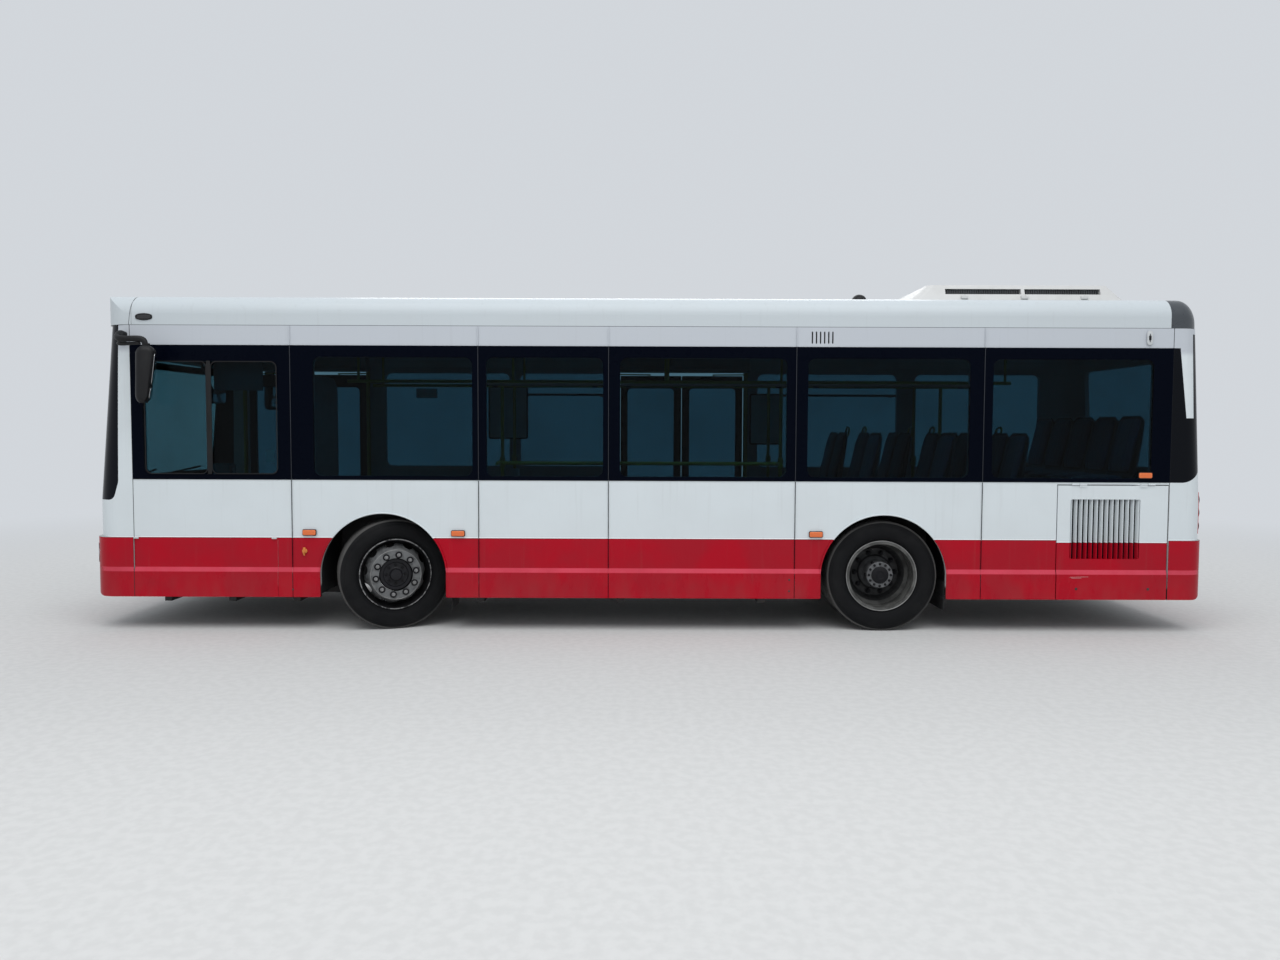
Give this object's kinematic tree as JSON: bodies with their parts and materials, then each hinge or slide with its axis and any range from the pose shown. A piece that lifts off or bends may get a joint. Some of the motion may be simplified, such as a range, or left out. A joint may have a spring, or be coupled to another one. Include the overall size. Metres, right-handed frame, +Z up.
{
  "type": "city bus",
  "caption": "Low-floor city bus with single front wheels, twin rear wheels, inward-gliding doors and a rear engine.",
  "frame": {"origin": "on the ground, at mid length and mid width of the bus", "axes": "+X forwards, +Y to the bus's left, +Z up"},
  "size_m": [9.4, 2.906, 2.958],
  "materials": {
    "white_paint": "gloss",
    "red_paint": "gloss",
    "dark_panel": "gloss",
    "pod_shell": "satin",
    "tinted_glass": "gloss",
    "lamp_lens": "gloss",
    "red_lens": "gloss",
    "black_plastic": "satin",
    "seat_fabric": "matte",
    "grey_panel": "satin",
    "rail_steel": "gloss",
    "cast_iron": "rough",
    "chassis_steel": "satin",
    "door_frame": "satin",
    "wheel_steel": "satin",
    "tyre_rubber": "rough"
  },
  "bodies": {
    "body": {"floor_deck": "grey_panel", "podiums": "grey_panel", "wheel_boxes": "grey_panel", "underframe": "chassis_steel", "left_side_wall": "white_paint", "right_side_wall": "white_paint", "doorway_frames": "white_paint", "skirts": "red_paint", "door_gear": "grey_panel", "roof_shell": "white_paint", "rear_roof_cap": "dark_panel", "roof_hatches": "white_paint", "front_mask": "white_paint", "windscreen": "tinted_glass", "front_bumper": "red_paint", "rear_wall": "white_paint", "rear_bumper": "red_paint", "body_glass": "tinted_glass", "air_conditioner": "pod_shell", "mirrors": "black_plastic", "headlamps": "lamp_lens", "tail_lamps": "red_lens", "dashboard": "black_plastic", "steering_wheel": "black_plastic", "driver_seat": "seat_fabric", "cab_partition": "grey_panel", "destination_box": "black_plastic", "passenger_seats": "seat_fabric", "handrails": "rail_steel", "stanchions": "rail_steel", "engine_block": "cast_iron", "exhaust": "chassis_steel", "air_tanks": "chassis_steel", "front_axle": "cast_iron", "rear_axle": "cast_iron"},
    "front_left_hub": {"front_left_knuckle": "cast_iron"},
    "front_left_roll": {"front_left_wheel": "wheel_steel", "front_left_tyre": "tyre_rubber"},
    "rear_left_roll": {"rear_left_wheels": "wheel_steel", "rear_left_tyres": "tyre_rubber"},
    "front_right_hub": {"front_right_knuckle": "cast_iron"},
    "front_right_roll": {"front_right_wheel": "wheel_steel", "front_right_tyre": "tyre_rubber"},
    "rear_right_roll": {"rear_right_wheels": "wheel_steel", "rear_right_tyres": "tyre_rubber"},
    "front_door_rear_swing": {"front_door_rear_post": "chassis_steel"},
    "front_door_rear_wing": {"front_door_rear_leaf": "door_frame", "front_door_rear_glass": "tinted_glass"},
    "front_door_front_swing": {"front_door_front_post": "chassis_steel"},
    "front_door_front_wing": {"front_door_front_leaf": "door_frame", "front_door_front_glass": "tinted_glass"},
    "centre_door_rear_swing": {"centre_door_rear_post": "chassis_steel"},
    "centre_door_rear_wing": {"centre_door_rear_leaf": "door_frame", "centre_door_rear_glass": "tinted_glass"},
    "centre_door_front_swing": {"centre_door_front_post": "chassis_steel"},
    "centre_door_front_wing": {"centre_door_front_leaf": "door_frame", "centre_door_front_glass": "tinted_glass"},
    "engine_hatch": {"engine_hatch": "red_paint"},
    "engine_side_flap": {"engine_side_flap": "red_paint"}
  },
  "joints": [
    {"name": "steer_left", "type": "hinge", "parent": "body", "child": "front_left_hub", "pos_m": [2.195, 0.86, 0.465], "axis": [0, 0, 1], "range_deg": [-56, 25]},
    {"name": "roll_front_left", "type": "hinge", "parent": "front_left_hub", "child": "front_left_roll", "pos_m": [2.195, 0.86, 0.465], "axis": [-0.342, 0.9397, 0], "continuous": true},
    {"name": "roll_rear_left", "type": "hinge", "parent": "body", "child": "rear_left_roll", "pos_m": [-1.988, 0.8375, 0.465], "axis": [0, 1, 0], "continuous": true},
    {"name": "steer_right", "type": "hinge", "parent": "body", "child": "front_right_hub", "pos_m": [2.195, -0.86, 0.465], "axis": [0, 0, 1], "range_deg": [-56, 25]},
    {"name": "roll_front_right", "type": "hinge", "parent": "front_right_hub", "child": "front_right_roll", "pos_m": [2.195, -0.86, 0.465], "axis": [-0.309, 0.9511, 0], "continuous": true},
    {"name": "roll_rear_right", "type": "hinge", "parent": "body", "child": "rear_right_roll", "pos_m": [-1.988, -0.8375, 0.465], "axis": [0, 1, 0], "continuous": true},
    {"name": "front_door_rear_open", "type": "hinge", "parent": "body", "child": "front_door_rear_swing", "pos_m": [2.94, -1.09, 1.3], "axis": [0, 0, 1], "range_deg": [0, 84]},
    {"name": "front_door_rear_turn", "type": "hinge", "parent": "front_door_rear_swing", "child": "front_door_rear_wing", "pos_m": [3.2635, -1.146, 1.3], "axis": [0, 0, -1], "range_deg": [0, 168]},
    {"name": "front_door_front_open", "type": "hinge", "parent": "body", "child": "front_door_front_swing", "pos_m": [4.25, -1.09, 1.3], "axis": [0, 0, -1], "range_deg": [0, 84]},
    {"name": "front_door_front_turn", "type": "hinge", "parent": "front_door_front_swing", "child": "front_door_front_wing", "pos_m": [3.9265, -1.146, 1.3], "axis": [0, 0, 1], "range_deg": [0, 168]},
    {"name": "centre_door_rear_open", "type": "hinge", "parent": "body", "child": "centre_door_rear_swing", "pos_m": [-1.07, -1.09, 1.3], "axis": [0, 0, 1], "range_deg": [0, 84]},
    {"name": "centre_door_rear_turn", "type": "hinge", "parent": "centre_door_rear_swing", "child": "centre_door_rear_wing", "pos_m": [-0.734, -1.146, 1.3], "axis": [0, 0, -1], "range_deg": [0, 168]},
    {"name": "centre_door_front_open", "type": "hinge", "parent": "body", "child": "centre_door_front_swing", "pos_m": [0.29, -1.09, 1.3], "axis": [0, 0, -1], "range_deg": [0, 84]},
    {"name": "centre_door_front_turn", "type": "hinge", "parent": "centre_door_front_swing", "child": "centre_door_front_wing", "pos_m": [-0.046, -1.146, 1.3], "axis": [0, 0, 1], "range_deg": [0, 168]},
    {"name": "engine_hatch_lift", "type": "hinge", "parent": "body", "child": "engine_hatch", "pos_m": [-4.69, 0, 1.19], "axis": [0, 1, 0], "range_deg": [0, 75]},
    {"name": "engine_flap_lift", "type": "hinge", "parent": "body", "child": "engine_side_flap", "pos_m": [-3.8935, 1.169, 1.246], "axis": [1, 0, 0], "range_deg": [0, 80]}
  ],
  "couplings": [
    {"joint": "steer_right", "follows": "steer_left", "ratio": 1},
    {"joint": "front_door_rear_turn", "follows": "front_door_rear_open", "ratio": 2},
    {"joint": "front_door_front_turn", "follows": "front_door_front_open", "ratio": 2},
    {"joint": "centre_door_rear_turn", "follows": "centre_door_rear_open", "ratio": 2},
    {"joint": "centre_door_front_turn", "follows": "centre_door_front_open", "ratio": 2}
  ]
}
